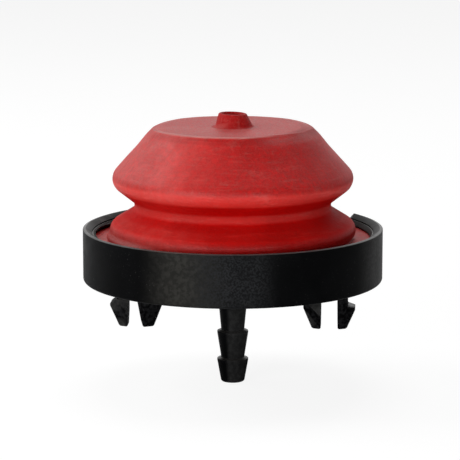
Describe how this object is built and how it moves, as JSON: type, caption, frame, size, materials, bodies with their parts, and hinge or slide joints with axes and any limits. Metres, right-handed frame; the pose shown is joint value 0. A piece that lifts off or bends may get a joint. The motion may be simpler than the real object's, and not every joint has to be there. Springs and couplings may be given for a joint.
{
  "type": "primer bulb pump",
  "caption": "Panel-mounted bulb pump: a soft red bulb with a folded neck held by a ring in a round black housing with a hose barb and snap prongs below.",
  "frame": {"origin": "centre of the rim's seat, in the plane that rests on the panel and on the bulb's axis", "axes": "+Z along the bulb's axis, away from the panel; the two pairs of snap prongs lie along X; the notch in the rim faces +Y"},
  "size_m": [0.054, 0.054, 0.0491],
  "materials": {
    "housing": "satin moulded nylon, black",
    "ring": "satin moulded nylon, black",
    "bulb": "matte moulded rubber, red with a dusty bloom"
  },
  "bodies": {
    "housing": {"housing_cup": "housing", "hose_barb": "housing", "retaining_ring": "ring", "bulb_foot": "bulb", "bulb_convolution": "bulb"},
    "crown": {"bulb_crown": "bulb", "vent_nub": "bulb"},
    "prong_left_outer": {"snap_prong_left_outer": "housing"},
    "prong_left_inner": {"snap_prong_left_inner": "housing"},
    "prong_right_inner": {"snap_prong_right_inner": "housing"},
    "prong_right_outer": {"snap_prong_right_outer": "housing"}
  },
  "joints": [
    {"name": "bulb_press", "type": "slide", "parent": "housing", "child": "crown", "axis": [0, 0, -1], "range_m": [0, 0.006], "stiffness_N_per_m": 1500, "deforming": ["bulb_convolution"]},
    {"name": "prong_flex_left_outer", "type": "hinge", "parent": "housing", "child": "prong_left_outer", "pos_m": [-0.01989, 0, 0.0012], "axis": [0, -1, 0], "range_deg": [0, 7], "stiffness_Nm_per_rad": 1.5},
    {"name": "prong_flex_left_inner", "type": "hinge", "parent": "housing", "child": "prong_left_inner", "pos_m": [-0.01511, 0, 0.0012], "axis": [0, 1, 0], "range_deg": [0, 7], "stiffness_Nm_per_rad": 1.5},
    {"name": "prong_flex_right_inner", "type": "hinge", "parent": "housing", "child": "prong_right_inner", "pos_m": [0.01511, 0, 0.0012], "axis": [0, -1, 0], "range_deg": [0, 7], "stiffness_Nm_per_rad": 1.5},
    {"name": "prong_flex_right_outer", "type": "hinge", "parent": "housing", "child": "prong_right_outer", "pos_m": [0.01989, 0, 0.0012], "axis": [0, 1, 0], "range_deg": [0, 7], "stiffness_Nm_per_rad": 1.5}
  ]
}
